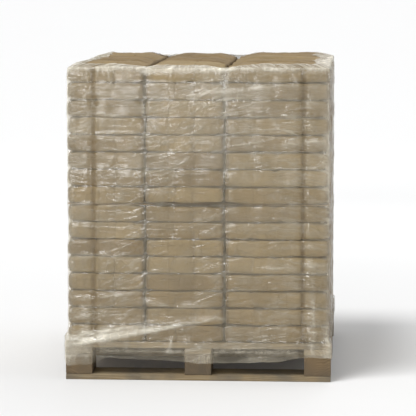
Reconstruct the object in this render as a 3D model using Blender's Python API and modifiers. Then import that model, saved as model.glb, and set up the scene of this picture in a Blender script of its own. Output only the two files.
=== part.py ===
"""A pallet load of flat kraft paper sacks under stretch film, in metres, +Z up, standing on z = 0.

The origin is the middle of the load's footprint on the floor. The front is the narrow end and faces -Y.
A nine-block wooden pallet carries sixteen layers of sacks. Every layer is laid alike, so that the joints
between the sacks run straight up the sides: two columns of sacks lie lengthwise from front to back, and
the third lies crosswise.
"""
import math
import random

import bmesh
import bpy
from mathutils import Matrix, Vector

# Pallet, metres
PALLET_WIDTH = 1.000
PALLET_DEPTH = 1.200
BOARD_THICKNESS = 0.022
BLOCK_SIZE = Vector((0.100, 0.145, 0.078))
WIDE_BOARD = 0.145
NARROW_BOARD = 0.120
DECK_BOARD_WIDTHS = (WIDE_BOARD, NARROW_BOARD, NARROW_BOARD, WIDE_BOARD, NARROW_BOARD, NARROW_BOARD, WIDE_BOARD)
WOOD_EDGE = 0.0015

# Sacks, metres: a sack is four thirds as long as it is wide, and each layer holds ten
SACK_WIDTH = 0.2988
SACK_LENGTH = SACK_WIDTH * 4 / 3
LAYER_PITCH = 0.065
LAYER_COUNT = 16
LAYERS_UNDER_PAD = 8
SACK_SHOULDER = 0.014
SACK_CROWN = 0.007
LAYER_SHIFT = 0.001
LAYER_TURN = math.radians(0.08)
SHIFT_SEED = 16

# Layer pad and film, metres
PAD_THICKNESS = 0.003
PAD_INSET = 0.008
PAD_NOTCH_SHARE = 0.34
PAD_NOTCH_DEPTH = 0.025
FILM_THICKNESS = 0.001
FILM_CLEARANCE = 0.0015
FILM_LIP = 0.070
FILM_CORNER_RADIUS = 0.004

# Touching pieces keep this much between them
GAP = 0.0003

# A column of sacks is given by each sack's size across the front and its size from front to back
COLUMNS = ((SACK_WIDTH, SACK_LENGTH), (SACK_WIDTH, SACK_LENGTH), (SACK_LENGTH, SACK_WIDTH))
LAYER_WIDTH = sum(across for across, deep in COLUMNS)
LAYER_DEPTH = 3 * SACK_LENGTH
LAYER_THICKNESS = LAYER_PITCH - GAP

# Heights of the pallet's courses
BLOCK_BASE = BOARD_THICKNESS + GAP
STRINGER_BASE = BLOCK_BASE + BLOCK_SIZE.z + GAP
DECK_BASE = STRINGER_BASE + BOARD_THICKNESS + GAP
DECK_TOP = DECK_BASE + BOARD_THICKNESS
PAD_BASE = DECK_TOP + GAP + LAYERS_UNDER_PAD * LAYER_PITCH
LOAD_TOP = PAD_BASE + PAD_THICKNESS + (LAYER_COUNT - LAYERS_UNDER_PAD) * LAYER_PITCH


def clear_scene():
    """Remove the objects that the file opened with."""
    for old in list(bpy.data.objects):
        bpy.data.objects.remove(old, do_unlink=True)


def new_collection(name):
    """Add a collection to the scene."""
    collection = bpy.data.collections.new(name)
    bpy.context.scene.collection.children.link(collection)
    return collection


def to_linear(hex_colour):
    """Turn an sRGB hex colour into linear red, green and blue."""
    channels = [int(hex_colour[i:i + 2], 16) / 255 for i in (1, 3, 5)]
    return [c / 12.92 if c <= 0.04045 else ((c + 0.055) / 1.055) ** 2.4 for c in channels]


def material(name, hex_colour, roughness, alpha=1.0):
    """Make a plain Principled material."""
    made = bpy.data.materials.new(name)
    made.use_nodes = True
    shader = made.node_tree.nodes["Principled BSDF"]
    shader.inputs["Base Color"].default_value = (*to_linear(hex_colour), 1.0)
    shader.inputs["Roughness"].default_value = roughness
    shader.inputs["Metallic"].default_value = 0.0
    shader.inputs["Alpha"].default_value = alpha
    return made


def box_mesh(name, size):
    """A box centred on its own origin, from the cube primitive."""
    mesh = bpy.data.meshes.new(name)
    work = bmesh.new()
    bmesh.ops.create_cube(work, size=1.0, matrix=Matrix.Diagonal((*size, 1.0)))
    work.to_mesh(mesh)
    work.free()
    return mesh


def add_object(name, mesh, location, collection, surface=None):
    """Place a mesh as a named object."""
    made = bpy.data.objects.new(name, mesh)
    made.location = location
    collection.objects.link(made)
    if surface:
        mesh.materials.clear()
        mesh.materials.append(surface)
    return made


def add_board(name, size, location, collection, surface, parent):
    """A sawn board or block with its edges slightly broken, resting with its underside at location.z."""
    board = add_object(name, box_mesh(name, size), location + Vector((0, 0, size.z / 2)), collection, surface)
    edge = board.modifiers.new("broken_edges", "BEVEL")
    edge.width = WOOD_EDGE
    edge.segments = 1
    board.parent = parent
    return board


def spread(count, total, size):
    """Centres of count like pieces whose outer edges lie total apart."""
    step = (total - size) / (count - 1)
    return [step * (i - (count - 1) / 2) for i in range(count)]


def build_pallet(collection):
    """Three bottom boards, nine blocks, three stringer boards and the deck."""
    frame = bpy.data.objects.new("pallet", None)
    collection.objects.link(frame)
    pine = material("sawn_pine_board", "#A98C62", 0.80)
    block_wood = material("sawn_pine_block", "#97794F", 0.85)
    column_xs = spread(3, PALLET_WIDTH, BLOCK_SIZE.x)
    row_ys = spread(3, PALLET_DEPTH, BLOCK_SIZE.y)
    board = Vector((PALLET_WIDTH, WIDE_BOARD, BOARD_THICKNESS))
    stringer = Vector((BLOCK_SIZE.x, PALLET_DEPTH, BOARD_THICKNESS))
    for row, y in enumerate(row_ys, 1):
        add_board(f"bottom_board_{row}", board, Vector((0, y, 0)), collection, pine, frame)
        for column, x in enumerate(column_xs, 1):
            place = Vector((x, y, BLOCK_BASE))
            add_board(f"block_{row}_{column}", BLOCK_SIZE, place, collection, block_wood, frame)
    for column, x in enumerate(column_xs, 1):
        add_board(f"stringer_{column}", stringer, Vector((x, 0, STRINGER_BASE)), collection, pine, frame)
    deck_gap = (PALLET_DEPTH - sum(DECK_BOARD_WIDTHS)) / (len(DECK_BOARD_WIDTHS) - 1)
    near_edge = -PALLET_DEPTH / 2
    for number, width in enumerate(DECK_BOARD_WIDTHS, 1):
        size = Vector((PALLET_WIDTH, width, BOARD_THICKNESS))
        place = Vector((0, near_edge + width / 2, DECK_BASE))
        add_board(f"deck_board_{number}", size, place, collection, pine, frame)
        near_edge += width + deck_gap


def split_faces(work, point, normal, low_x, high_x):
    """Cut the faces whose middles lie between two x values along a plane, without opening the surface."""
    faces = [f for f in work.faces if low_x - GAP < f.calc_center_median().x < high_x + GAP]
    edges = list({e for f in faces for e in f.edges})
    verts = list({v for f in faces for v in f.verts})
    bmesh.ops.bisect_plane(work, geom=faces + edges + verts, dist=GAP / 10, plane_co=point, plane_no=normal)


def layer_mesh():
    """One layer of ten sacks as one solid.

    A core is split along the joints, and each sack's part of every face is inset and pushed out, which
    leaves the gaps between the sacks and their rounded outer edges.
    """
    crown = Vector((SACK_CROWN, SACK_CROWN, SACK_CROWN))
    core = Vector((LAYER_WIDTH, LAYER_DEPTH, LAYER_THICKNESS)) - 2 * crown
    mesh = box_mesh("sack_layer", core)
    work = bmesh.new()
    work.from_mesh(mesh)
    left = -LAYER_WIDTH / 2
    for across, deep in COLUMNS:
        right = left + across
        if right < core.x / 2:
            split_faces(work, Vector((right, 0, 0)), Vector((1, 0, 0)), -LAYER_WIDTH, LAYER_WIDTH)
        left = right
    left = -LAYER_WIDTH / 2
    for across, deep in COLUMNS:
        for step in range(1, round(LAYER_DEPTH / deep)):
            joint = Vector((0, step * deep - LAYER_DEPTH / 2, 0))
            split_faces(work, joint, Vector((0, 1, 0)), left, left + across)
        left += across
    work.normal_update()
    bmesh.ops.inset_individual(
        work, faces=list(work.faces), thickness=SACK_SHOULDER, depth=SACK_CROWN, use_even_offset=True)
    work.to_mesh(mesh)
    work.free()
    return mesh


def build_sacks(collection):
    """Sixteen layers, each set down a little out of true."""
    mesh = layer_mesh()
    kraft = material("kraft_paper", "#A78F6B", 0.85)
    hand = random.Random(SHIFT_SEED)
    for number in range(LAYER_COUNT):
        over_pad = PAD_THICKNESS if number >= LAYERS_UNDER_PAD else 0.0
        shift_x = hand.uniform(-LAYER_SHIFT, LAYER_SHIFT)
        shift_y = hand.uniform(-LAYER_SHIFT, LAYER_SHIFT)
        z = DECK_TOP + GAP + number * LAYER_PITCH + over_pad + LAYER_THICKNESS / 2
        place = Vector((shift_x, shift_y, z))
        layer = add_object(f"sack_layer_{number + 1:02d}", mesh, place, collection, kraft)
        layer.rotation_euler.z = hand.uniform(-LAYER_TURN, LAYER_TURN)


def build_pad(collection, cutters):
    """The sheet between the two half loads, cut back in the middle third of each side."""
    size = Vector((LAYER_WIDTH - 2 * PAD_INSET, LAYER_DEPTH - 2 * PAD_INSET, PAD_THICKNESS - GAP))
    place = Vector((0, 0, PAD_BASE + size.z / 2))
    board = material("kraft_board", "#8C7048", 0.90)
    pad = add_object("layer_pad", box_mesh("layer_pad", size), place, collection, board)
    notch_x = Vector((size.x * PAD_NOTCH_SHARE, 2 * PAD_NOTCH_DEPTH, 3 * PAD_THICKNESS))
    notch_y = Vector((2 * PAD_NOTCH_DEPTH, size.y * PAD_NOTCH_SHARE, 3 * PAD_THICKNESS))
    for sign in (-1, 1):
        for name, notch, middle in (
                ("notch_across", notch_x, Vector((0, sign * size.y / 2, place.z))),
                ("notch_deep", notch_y, Vector((sign * size.x / 2, 0, place.z)))):
            cutter = add_object(name, box_mesh(name, notch), middle, cutters)
            cutter.hide_render = True
            cutter.display_type = "WIRE"
            cut = pad.modifiers.new("notch", "BOOLEAN")
            cut.operation = "DIFFERENCE"
            cut.object = cutter


def build_film(collection):
    """The film as one skin round the load, open below and folded over the top edge."""
    base = DECK_BASE + GAP
    inner = Vector((PALLET_WIDTH + 2 * FILM_CLEARANCE, PALLET_DEPTH + 2 * FILM_CLEARANCE, LOAD_TOP - base))
    mesh = box_mesh("stretch_wrap", inner)
    work = bmesh.new()
    work.from_mesh(mesh)
    work.normal_update()
    top = max(work.faces, key=lambda face: face.calc_center_median().z)
    bottom = min(work.faces, key=lambda face: face.calc_center_median().z)
    bmesh.ops.inset_region(work, faces=[top], thickness=FILM_LIP, use_even_offset=True)
    bmesh.ops.delete(work, geom=[top, bottom], context="FACES_ONLY")
    uprights = [e for e in work.edges if abs(e.verts[0].co.z - e.verts[1].co.z) > inner.z / 2]
    bmesh.ops.bevel(
        work, geom=uprights, offset=FILM_CORNER_RADIUS, offset_type="OFFSET", segments=2, profile=0.5,
        affect="EDGES")
    work.to_mesh(mesh)
    work.free()
    clear = material("stretch_film", "#D8D4CC", 0.25, alpha=0.35)
    film = add_object("stretch_wrap", mesh, Vector((0, 0, base + inner.z / 2)), collection, clear)
    wall = film.modifiers.new("film_wall", "SOLIDIFY")
    wall.thickness = FILM_THICKNESS
    wall.offset = 1.0
    wall.use_even_offset = True


def main():
    """Build the whole load."""
    clear_scene()
    load = new_collection("pallet_of_sacks")
    cutters = new_collection("cutters")
    build_pallet(load)
    build_sacks(load)
    build_pad(load, cutters)
    build_film(load)


main()
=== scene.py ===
import math
import random
from functools import partial

import bmesh
import bpy
import numpy as np
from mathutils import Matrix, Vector, noise
from mathutils.bvhtree import BVHTree


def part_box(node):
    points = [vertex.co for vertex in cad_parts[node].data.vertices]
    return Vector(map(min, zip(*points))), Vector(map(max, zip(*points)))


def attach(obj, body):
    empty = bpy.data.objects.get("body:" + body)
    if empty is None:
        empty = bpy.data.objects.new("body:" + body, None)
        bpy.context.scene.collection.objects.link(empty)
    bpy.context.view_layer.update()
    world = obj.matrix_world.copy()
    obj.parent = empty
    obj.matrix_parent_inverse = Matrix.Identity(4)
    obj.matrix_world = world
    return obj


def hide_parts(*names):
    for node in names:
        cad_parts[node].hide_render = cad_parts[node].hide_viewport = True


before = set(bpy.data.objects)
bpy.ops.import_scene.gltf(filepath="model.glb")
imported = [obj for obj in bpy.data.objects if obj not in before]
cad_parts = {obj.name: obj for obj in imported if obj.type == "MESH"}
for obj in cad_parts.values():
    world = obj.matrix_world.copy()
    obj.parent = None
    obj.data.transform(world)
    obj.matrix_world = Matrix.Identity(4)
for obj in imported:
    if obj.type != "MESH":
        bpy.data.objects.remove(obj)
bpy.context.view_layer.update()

# Sacks, metres. A sack is four thirds as long as it is wide, and its blank is smaller until it is filled
SACK_WIDTH = 0.2988
SACK_LENGTH = SACK_WIDTH * 4 / 3
SACK_THICKNESS = 0.0647
SACK_HALF = np.array([SACK_WIDTH, SACK_LENGTH]) / 2
SACK_RISE = SACK_THICKNESS / 2
BLANK_INSET = 0.005
FILL_FRAMES = 20
FILL_REACH = 0.011
HELD_FROM = 0.024
HELD_OVER = 0.03
SACK_VARIANTS = 4

# A pressed sack, metres: its room in its cell, and how round its corners and edges are
CELL_CLEARANCE = 0.0012
CORNER_ROUND = 0.0140
CORNER_ROUND_SWING = 0.0060
SIDE_EDGE_ROUND = 0.0050
END_EDGE_ROUND = 0.0080
EDGE_ROUND_SWING = 0.0085
EDGE_ROUND_LEAST = 0.0030
SIDE_DENT = 0.0042
BURIED_MARGIN = 0.050

# Layers, metres: where the film presses the faces flat, and the upright crease beside each corner
LAYER_COUNT = 16
LAYERS_UNDER_PAD = 8
LAYER_PITCH = 0.065
FACE_LIMITS = np.array([0.4985, 0.5985])
CORNER_CREASE = 0.105
CORNER_DRAWN_IN = 0.0050
CREASE_DEPTH = 0.0085
CREASE_WIDTH = 0.0060
CORNER_BEAD = 0.0035
SACK_SLIP = 0.0008
SACK_TURN_SLIP = math.radians(0.15)
LAYING_SEED = 40

# Layers with a slack edge in the middle of the sides: the edge's side, up or down, and how far it gives way
SLACK_EDGES = {LAYERS_UNDER_PAD: (1, 0.0070), LAYERS_UNDER_PAD + 1: (-1, 0.0045), LAYER_COUNT: (1, 0.0060)}

# Stretch film, metres: a plain outline just outside the sacks, and the skin that is laid over them from it
LOAD_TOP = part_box("sack_layer_16")[1].z
DECK_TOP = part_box("deck_board_1")[1].z
FILM_HALF_X = 0.4992
FILM_HALF_Y = 0.5992
FILM_CORNER = 0.016
FILM_TOP_EDGE = 0.010
FILM_SPACING = 0.008
FILM_BOTTOM = 0.088
FILM_TOP = LOAD_TOP + 0.0006
FILM_RIM = FILM_TOP - FILM_BOTTOM
FILM_LIP = 0.072
FILM_LIP_LEAST = 0.030
FILM_CLEARANCE = 0.0009
FILM_REACH_OUT = 0.040
FILM_REACH_IN = 0.030
NOTHING_UNDER = -0.020
BRIDGED_ROWS = 6
BRIDGED_COLUMNS = 9
WEB_ADVANCE = 0.165
CORNER_COLUMNS = 4
EDGE_ROWS = 3
HAZE_PER_FOLD_HEIGHT = 75.0

# How far the film's foot hangs over or under its mean in front, by the share of the front's width
FOOT_SHARES = (0.0, 0.08, 0.15, 0.40, 0.52, 0.80, 0.92, 1.0)
FOOT_HANGS = (-0.034, -0.032, -0.010, -0.012, -0.026, -0.016, 0.006, 0.008)

# Folds on the front: share of its width, and height, at the start and at the end, then the fold's own
# height and width, metres
FRONT_FOLDS = (
    (-0.0414, 0.040, 0.720, 0.172, 0.0068, 0.012),
    (-0.0414, 0.034, 0.520, 0.132, 0.0052, 0.012),
    (-0.0414, 0.068, 0.380, 0.134, 0.0044, 0.010),
    (0.260, 0.212, 0.440, 0.186, 0.0036, 0.009),
    (0.400, 0.186, 0.600, 0.206, 0.0036, 0.009),
    (0.240, 1.070, 0.550, 1.050, 0.0034, 0.010),
    (0.450, 0.985, 0.950, 1.040, 0.0030, 0.009),
    (0.050, 0.925, 0.250, 0.905, 0.0036, 0.010),
    (0.955, -0.020, 0.945, 0.460, 0.0030, 0.012))
FOLDS_PER_CORNER = 22
FOOT_FOLDS = 26
RIM_FOLDS = 56
FOLD_WIDTHS = (0.004, 0.008)

# Camera and floor, metres and degrees
CAMERA_AZIMUTH = 3.7
CAMERA_ELEVATION = 6.2
CAMERA_DISTANCE = 9.2
CAMERA_AIM = Vector((0, 0, 0.59))
CAMERA_LENS = 199.0
LAMP_AIM = Vector((0, 0, 0.7))
FLOOR_REACH = 120.0

# A range that eases in and out
SMOOTH = {"interpolation_type": "SMOOTHSTEP"}

hand = random.Random(1200)


# Helpers

def to_linear(hex_colour):
    """Turn an sRGB hex colour into linear red, green, blue and alpha."""
    channels = [int(hex_colour[i:i + 2], 16) / 255 for i in (1, 3, 5)]
    return [c / 12.92 if c <= 0.04045 else ((c + 0.055) / 1.055) ** 2.4 for c in channels] + [1.0]


def add_node(tree, kind, inputs=None, **settings):
    """Add a node with its settings, and set or link its inputs. A node given as an input stands for its
    first output in use."""
    node = tree.nodes.new(kind)
    for name, value in settings.items():
        setattr(node, name, value)
    for name, value in (inputs or {}).items():
        if isinstance(name, int):
            socket = node.inputs[name]
        else:
            socket = next(s for s in node.inputs if s.enabled and s.name == name)
        if isinstance(value, bpy.types.Node):
            value = next(s for s in value.outputs if s.enabled)
        if isinstance(value, bpy.types.NodeSocket):
            tree.links.new(value, socket)
        else:
            socket.default_value = value
    return node


def new_material(name):
    """An empty material, and the function that adds shader nodes to it by the rest of their names."""
    made = bpy.data.materials.new(name)
    made.use_nodes = True
    made.node_tree.nodes.clear()

    def add(kind, inputs=None, **settings):
        return add_node(made.node_tree, "ShaderNode" + kind, inputs, **settings)

    return made, add


def line_at(add, value, level, width, start=0.0, **settings):
    """Nodes for a line where a value crosses a level: 1 on it, fading to 0 at a width to both sides."""
    off = add("Math", {0: value, 1: level}, operation="SUBTRACT")
    near = add("Math", {0: off}, operation="ABSOLUTE")
    return add("MapRange", {
        "Value": near, "From Min": start, "From Max": width, "To Min": 1.0, "To Max": 0.0}, **settings)


def weighted_sum(add, total, parts, **settings):
    """Nodes that add weighted values to a first one."""
    for weight, value in parts:
        total = add("Math", {0: value, 1: weight, 2: total}, operation="MULTIPLY_ADD", **settings)
    return total


def finish(add, looks, relief, strength, depth):
    """Nodes that end a material: a bump from its relief, the shader with its looks, and the output."""
    bump = add("Bump", {"Height": relief, "Strength": strength, "Distance": depth})
    shader = add("BsdfPrincipled", {"Normal": bump, **looks})
    add("OutputMaterial", {"Surface": shader})


def add_object(name, mesh, surface=None):
    """Put a mesh into the scene as a named object."""
    made = bpy.data.objects.new(name, mesh)
    bpy.context.scene.collection.objects.link(made)
    if surface:
        mesh.materials.clear()
        mesh.materials.append(surface)
    return made


def read_points(mesh):
    """The mesh's points as an array."""
    points = np.empty(len(mesh.vertices) * 3, np.float64)
    mesh.vertices.foreach_get("co", points)
    return points.reshape(-1, 3)


def write_points(mesh, points):
    """Put an array of points back into the mesh."""
    mesh.vertices.foreach_set("co", points.astype(np.float32).ravel())
    mesh.update()


def keep_on_points(mesh, name, values, kind="FLOAT"):
    """Store a value for each point under a name that the materials read."""
    number = np.int32 if kind == "INT" else np.float32
    field = "vector" if kind == "FLOAT_VECTOR" else "value"
    mesh.attributes.new(name, kind, "POINT").data.foreach_set(field, np.asarray(values, number).ravel())


def step(values, low, high):
    """Smooth step from 0 at low to 1 at high."""
    share = np.clip((values - low) / (high - low), 0.0, 1.0)
    return share * share * (3 - 2 * share)


def noise_at(points, scale, away):
    """Smooth noise from about -1 to 1 at each point, after it is scaled and moved."""
    return np.array([noise.noise(Vector(p) * scale + Vector(away)) for p in points])


def soft_noise(points, scale, seed):
    """Smooth noise from about -1 to 1 at each point, different for each seed."""
    return noise_at(points, scale, (seed * 17.3, seed * 5.1, seed * 9.7))


def dents(points, scale, seed):
    """Shallow dents side by side: 0 in the middle of a dent, 1 on the ridges between."""
    away = Vector((seed * 7.1, seed * 3.3, seed * 11.9))
    reach = np.array([noise.voronoi(Vector(p) * scale + away)[0][0] for p in points])
    return np.clip(reach * 1.5, 0.0, 1.0)


def stations(length, edge_steps, spacing, extra=()):
    """Grid lines from end to end of a side: given distances from both ends, and even steps between."""
    half = length / 2
    inner = half - edge_steps[-1]
    count = max(1, round(2 * inner / spacing))
    marks = [sign * (half - e) for e in extra for sign in (-1, 1)]
    lines = [sign * (half - e) for e in edge_steps for sign in (-1, 1)] + marks
    for i in range(1, count):
        line = inner * (2 * i / count - 1)
        if all(abs(line - mark) > spacing * 0.35 for mark in marks):
            lines.append(line)
    return sorted(lines)


def grid_box(name, *lines):
    """A closed box whose six faces are grids through the given stations along x, y and z."""
    mesh = bpy.data.meshes.new(name)
    work = bmesh.new()
    made = {}

    def point(index):
        if index not in made:
            made[index] = work.verts.new([lines[axis][index[axis]] for axis in range(3)])
        return made[index]

    for axis in range(3):
        one, two = (axis + 1) % 3, (axis + 2) % 3
        for side in (0, len(lines[axis]) - 1):
            for a in range(len(lines[one]) - 1):
                for b in range(len(lines[two]) - 1):
                    ring = []
                    for more_a, more_b in ((0, 0), (1, 0), (1, 1), (0, 1)):
                        index = [side, side, side]
                        index[one] = a + more_a
                        index[two] = b + more_b
                        ring.append(point(tuple(index)))
                    if side == 0:
                        ring.reverse()
                    work.faces.new(ring)
    work.to_mesh(mesh)
    work.free()
    return mesh


# Materials

def kraft_paper():
    """Unbleached sack kraft, machine made and matt: brown and cloudy, each sack with a tone of its own, with
    crumple lines, upright creases where the film presses, the folded ends of a pasted sack, and painted
    shade at the upright corners and the corner creases."""
    made, add = new_material("kraft_sack_paper")
    place = add("TexCoord").outputs["Object"]
    sack = add("Attribute", attribute_name="sack").outputs["Vector"]
    tone = add("Attribute", attribute_name="tone").outputs["Fac"]
    own = add("Math", {0: tone, 1: 31.0}, operation="MULTIPLY")
    # Cloudy formation of the paper, about 120 mm across
    cloud = add("TexNoise", {"Vector": place, "Scale": 8.0, "Detail": 4.0})
    # Fibre: 1 to 2 mm in the real paper, drawn at 4 mm so that it shows
    fibre = add("TexNoise", {"Vector": place, "Scale": 240.0, "Detail": 3.0, "Roughness": 0.7})
    # Crumples: dents 50 to 80 mm across with creases between them, different on each sack
    bent = add("TexNoise", {
        "Vector": sack, "W": own, "Scale": 9.0, "Detail": 3.0, "Roughness": 0.6}, noise_dimensions="4D")
    warped = add("VectorMath", {
        0: bent.outputs["Color"], 1: (0.03, 0.03, 0.03), 2: sack}, operation="MULTIPLY_ADD")
    dent, ring = [
        add("TexVoronoi", {"Vector": warped, "W": own, "Scale": 16.0},
            voronoi_dimensions="4D", feature=feature) for feature in ("F1", "DISTANCE_TO_EDGE")]
    sharp = add("MapRange", {"Value": ring, "From Max": 0.045, "To Min": 1.0, "To Max": 0.0})
    part = add("MapRange", {"Value": bent, "From Min": 0.44, "From Max": 0.58})
    crease = add("Math", {0: sharp, 1: part}, operation="MULTIPLY")
    # Upright creases: the same planes cut every layer, about 120 mm apart, and each sack adds a few
    folds = []
    for source, turn, scale in ((place, 3.0, 6.5), (sack, own, 17.0)):
        flat = add("Mapping", {"Vector": source, "Scale": (1.0, 1.0, 0.0)})
        drift = add("TexNoise", {
            "Vector": flat, "W": turn, "Scale": scale, "Detail": 0.0}, noise_dimensions="4D")
        folds.append(line_at(add, drift, 0.5, 0.013))
    # Folded ends: slanting folds in from the corners, and the flap's edge between them, 9 mm over the middle
    split = add("SeparateXYZ", {"Vector": sack})
    across, length, height = [
        add("Math", {0: split.outputs[axis]}, operation="ABSOLUTE") for axis in "XYZ"]
    from_side, from_end, from_top = [
        add("Math", {0: rim, 1: value}, operation="SUBTRACT")
        for rim, value in zip((*(SACK_HALF - BLANK_INSET), SACK_RISE), (across, length, height))]
    slant = add("Math", {0: from_side, 1: from_top}, operation="SUBTRACT")
    slanted = add("Math", {0: slant}, operation="ABSOLUTE")
    flap = add("Math", {0: split.outputs["Z"], 1: 0.009}, operation="SUBTRACT")
    flapped = add("Math", {0: flap}, operation="ABSOLUTE")
    beside = add("Math", {0: from_side, 1: 0.024}, operation="LESS_THAN")
    broken = add("Math", {0: bent, 1: 0.47}, operation="SUBTRACT", use_clamp=True)
    kept_off = weighted_sum(add, flapped, ((0.06, broken), (1.0, beside)))
    nearest = add("Math", {0: slanted, 1: kept_off}, operation="MINIMUM")
    line = add("MapRange", {
        "Value": nearest, "From Min": 0.0006, "From Max": 0.0022, "To Min": 1.0, "To Max": 0.0})
    at_end = add("Math", {0: length, 1: SACK_LENGTH / 2 - 0.0075}, operation="GREATER_THAN")
    ended = add("Math", {0: line, 1: at_end}, operation="MULTIPLY")
    # Corner creases: painted shade, some 20 mm wide, only on the sides as all upright creases are
    object_split = add("SeparateXYZ", {"Vector": place})
    crease_shade = []
    for axis, limit in zip("XY", FACE_LIMITS):
        wide = add("Math", {0: object_split.outputs[axis]}, operation="ABSOLUTE")
        crease_shade.append(line_at(add, wide, limit - CORNER_CREASE, 0.016, 0.003, **SMOOTH))
    corners = add("Math", {0: crease_shade[0], 1: crease_shade[1]}, operation="MAXIMUM")
    upright_face = add("Math", {0: height, 1: SACK_RISE - 0.003}, operation="LESS_THAN")
    corner_crease_shade, wide_fold, own_fold = [
        add("Math", {0: drawn, 1: upright_face}, operation="MULTIPLY") for drawn in (corners, *folds)]
    # Upright corners: painted shade over 20 mm where the paper turns round them
    from_corner = add("Math", {0: from_side, 1: from_end}, operation="MAXIMUM")
    turned = add("MapRange", {
        "Value": from_corner, "From Min": 0.002, "From Max": 0.020, "To Min": 1.0, "To Max": 0.0}, **SMOOTH)
    # The tube's glued seam runs along the upper face: a step in height, and a stain along it
    seam_at = 0.034
    seamed = add("MapRange", {
        "Value": split.outputs["X"], "From Min": seam_at - 0.0012, "From Max": seam_at + 0.0012})
    glued = line_at(add, split.outputs["X"], seam_at, 0.0035, **SMOOTH)
    # Colour
    colour = add("Mix", {
        "Factor": tone, "A": to_linear("#7B6644"), "B": to_linear("#95815B")}, data_type="RGBA")
    for share, over in ((0.36, cloud), (0.35, fibre)):
        colour = add("Mix", {
            "Factor": share, "A": colour, "B": over}, data_type="RGBA", blend_type="OVERLAY")
    # Darker marks: the glued seam's stain, crumple and upright creases, folded ends, and painted shade at
    # the corner creases and the upright corners
    marks = weighted_sum(add, 0.0, (
        (0.35, glued), (0.24, crease), (0.26, wide_fold), (0.16, own_fold), (0.36, ended), (0.58, corner_crease_shade),
        (0.65, turned)), use_clamp=True)
    marked_and_shaded = add("Mix", {"Factor": marks, "A": colour, "B": to_linear("#5F4A2C")}, data_type="RGBA")
    rough = add("MapRange", {"Value": fibre, "To Min": 0.72, "To Max": 0.95})
    # Heights as parts of 1.2 mm
    relief = weighted_sum(add, seamed, (
        (0.25, fibre), (0.5, crease), (-0.8, wide_fold), (-0.5, own_fold), (-1.0, ended), (1.5, bent),
        (6.0, dent)))
    finish(add, {"Base Color": marked_and_shaded, "Roughness": rough, "IOR": 1.45}, relief, 0.7, 0.0012)
    return made


def kraft_board():
    """Grey-brown solid board of the layer pad, matt, with flecks of waste paper."""
    made, add = new_material("kraft_board_pad")
    place = add("TexCoord").outputs["Object"]
    fleck = add("TexNoise", {"Vector": place, "Scale": 300.0, "Detail": 2.0})
    cloud = add("TexNoise", {"Vector": place, "Scale": 10.0, "Detail": 3.0})
    tint = add("Mix", {
        "Factor": cloud, "A": to_linear("#7A6244"), "B": to_linear("#9A8058")}, data_type="RGBA")
    mixed = add("Mix", {
        "Factor": 0.3, "A": tint, "B": fleck.outputs["Color"]}, data_type="RGBA", blend_type="OVERLAY")
    finish(add, {"Base Color": mixed, "Roughness": 0.9, "IOR": 1.45}, fleck, 0.3, 0.0005)
    return made


def pallet_pine(name, fresh, dark, grey):
    """Rough-sawn pine, weathered: growth rings cut along the board, knots, saw marks, greyed, with painted
    shade low down.
    """
    made, add = new_material(name)
    grain = add("Attribute", attribute_name="grain").outputs["Vector"]
    # Rings 3 to 6 mm apart, drawn out along the board
    drawn = add("Mapping", {"Vector": grain, "Scale": (0.10, 1.0, 1.0)})
    sway = add("TexNoise", {"Vector": drawn, "Scale": 14.0, "Detail": 3.0})
    bent = add("Mix", {"Factor": 0.06, "A": drawn, "B": sway.outputs["Color"]}, data_type="VECTOR")
    rings = add("TexWave", {
        "Vector": bent, "Scale": 42.0, "Distortion": 1.5, "Detail": 2.0, "Detail Scale": 2.0},
        wave_type="RINGS", rings_direction="X", wave_profile="SAW").outputs["Fac"]
    # Knots, some 200 mm apart
    long_grain = add("Mapping", {"Vector": grain, "Scale": (0.5, 1.0, 1.0)})
    knot = add("TexVoronoi", {"Vector": long_grain, "Scale": 9.0}, feature="F1")
    knotted = add("MapRange", {
        "Value": knot, "From Min": 0.06, "From Max": 0.13, "To Min": 0.75, "To Max": 0.0})
    dirt_and_shade_noise = add("TexNoise", {"Vector": grain, "Scale": 7.0, "Detail": 5.0})
    soiled = add("MapRange", {"Value": dirt_and_shade_noise, "From Min": 0.42, "From Max": 0.70})
    # Saw marks across the board, 4 mm apart
    saw = add("TexWave", {
        "Vector": grain, "Scale": 80.0, "Distortion": 3.0, "Detail": 2.0},
        wave_type="BANDS", bands_direction="X").outputs["Fac"]
    # Painted shade near the floor: darker on the lowest 50 mm, its edge wandering with the noise
    low = add("SeparateXYZ", {"Vector": add("TexCoord").outputs["Object"]})
    climbed = weighted_sum(add, low.outputs["Z"], ((-0.06, dirt_and_shade_noise),))
    painted_low_shade = add("MapRange", {
        "Value": climbed, "From Min": -0.020, "From Max": 0.030, "To Min": 0.30, "To Max": 0.0}, **SMOOTH)
    # Each coat lies over the ones before it: late wood, grey weathering, painted shade low down, knots
    colour = to_linear(fresh)
    for share, coat in ((rings, dark), (soiled, grey), (painted_low_shade, "#4F483B"), (knotted, "#4A3018")):
        colour = add("Mix", {"Factor": share, "A": colour, "B": to_linear(coat)}, data_type="RGBA")
    rough = add("MapRange", {"Value": rings, "To Min": 0.75, "To Max": 0.92})
    relief = weighted_sum(add, rings, ((0.4, saw),))
    finish(add, {"Base Color": colour, "Roughness": rough, "IOR": 1.5}, relief, 0.45, 0.0008)
    return made


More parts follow.
